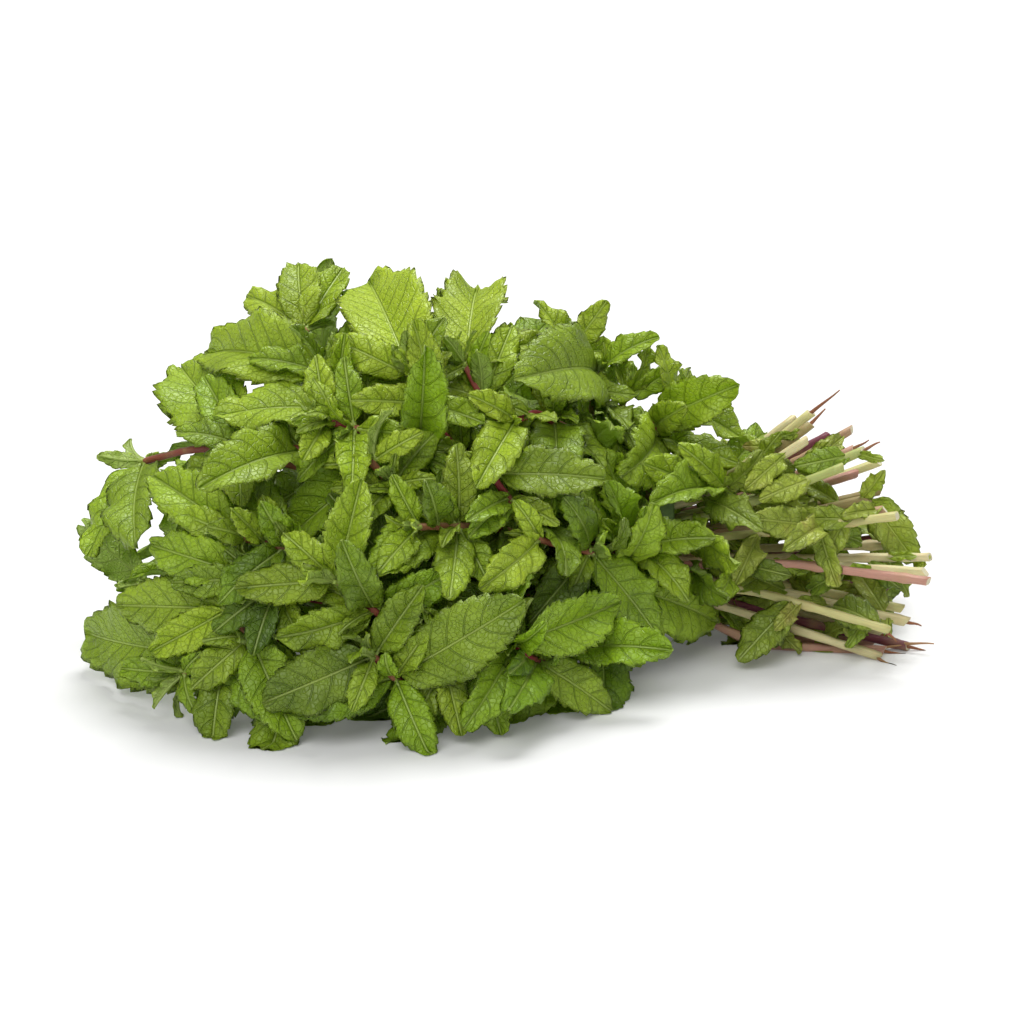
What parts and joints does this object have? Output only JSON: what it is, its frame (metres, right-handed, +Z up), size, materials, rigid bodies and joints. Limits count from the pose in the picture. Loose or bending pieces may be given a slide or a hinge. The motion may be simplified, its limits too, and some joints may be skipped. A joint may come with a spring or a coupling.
{
  "type": "bunch of mint sprigs",
  "caption": "Fresh cut mint bunch lying on its side: leafy square-stemmed sprigs in a low heap, held by one band, with the bare cut ends fanning out.",
  "frame": {"origin": "centre of the bunch's footprint box, on the surface it lies on", "axes": "+X along the bunch towards the cut stem ends, +Y towards the side hidden in the picture, +Z up"},
  "size_m": [0.2794, 0.2086, 0.126],
  "materials": {
    "mint_sprig": "satin quilted leaf with toothed edge, thin enough for light to shine through",
    "band_rubber": "matte green rubber"
  },
  "bodies": {
    "root": {"sprig_01": "mint_sprig", "sprig_02": "mint_sprig", "sprig_03": "mint_sprig", "sprig_04": "mint_sprig", "sprig_05": "mint_sprig", "sprig_06": "mint_sprig", "sprig_07": "mint_sprig", "sprig_08": "mint_sprig", "sprig_09": "mint_sprig", "sprig_10": "mint_sprig", "sprig_11": "mint_sprig", "sprig_12": "mint_sprig", "sprig_13": "mint_sprig", "sprig_14": "mint_sprig", "sprig_15": "mint_sprig", "sprig_16": "mint_sprig", "sprig_17": "mint_sprig", "sprig_18": "mint_sprig", "sprig_19": "mint_sprig", "sprig_20": "mint_sprig", "sprig_21": "mint_sprig", "sprig_22": "mint_sprig", "sprig_23": "mint_sprig", "sprig_24": "mint_sprig", "sprig_25": "mint_sprig", "sprig_26": "mint_sprig", "sprig_27": "mint_sprig", "sprig_28": "mint_sprig", "sprig_29": "mint_sprig", "sprig_30": "mint_sprig", "sprig_31": "mint_sprig", "sprig_32": "mint_sprig", "sprig_33": "mint_sprig", "sprig_34": "mint_sprig", "sprig_35": "mint_sprig", "sprig_36": "mint_sprig", "sprig_37": "mint_sprig", "band": "band_rubber"}
  },
  "joints": []
}
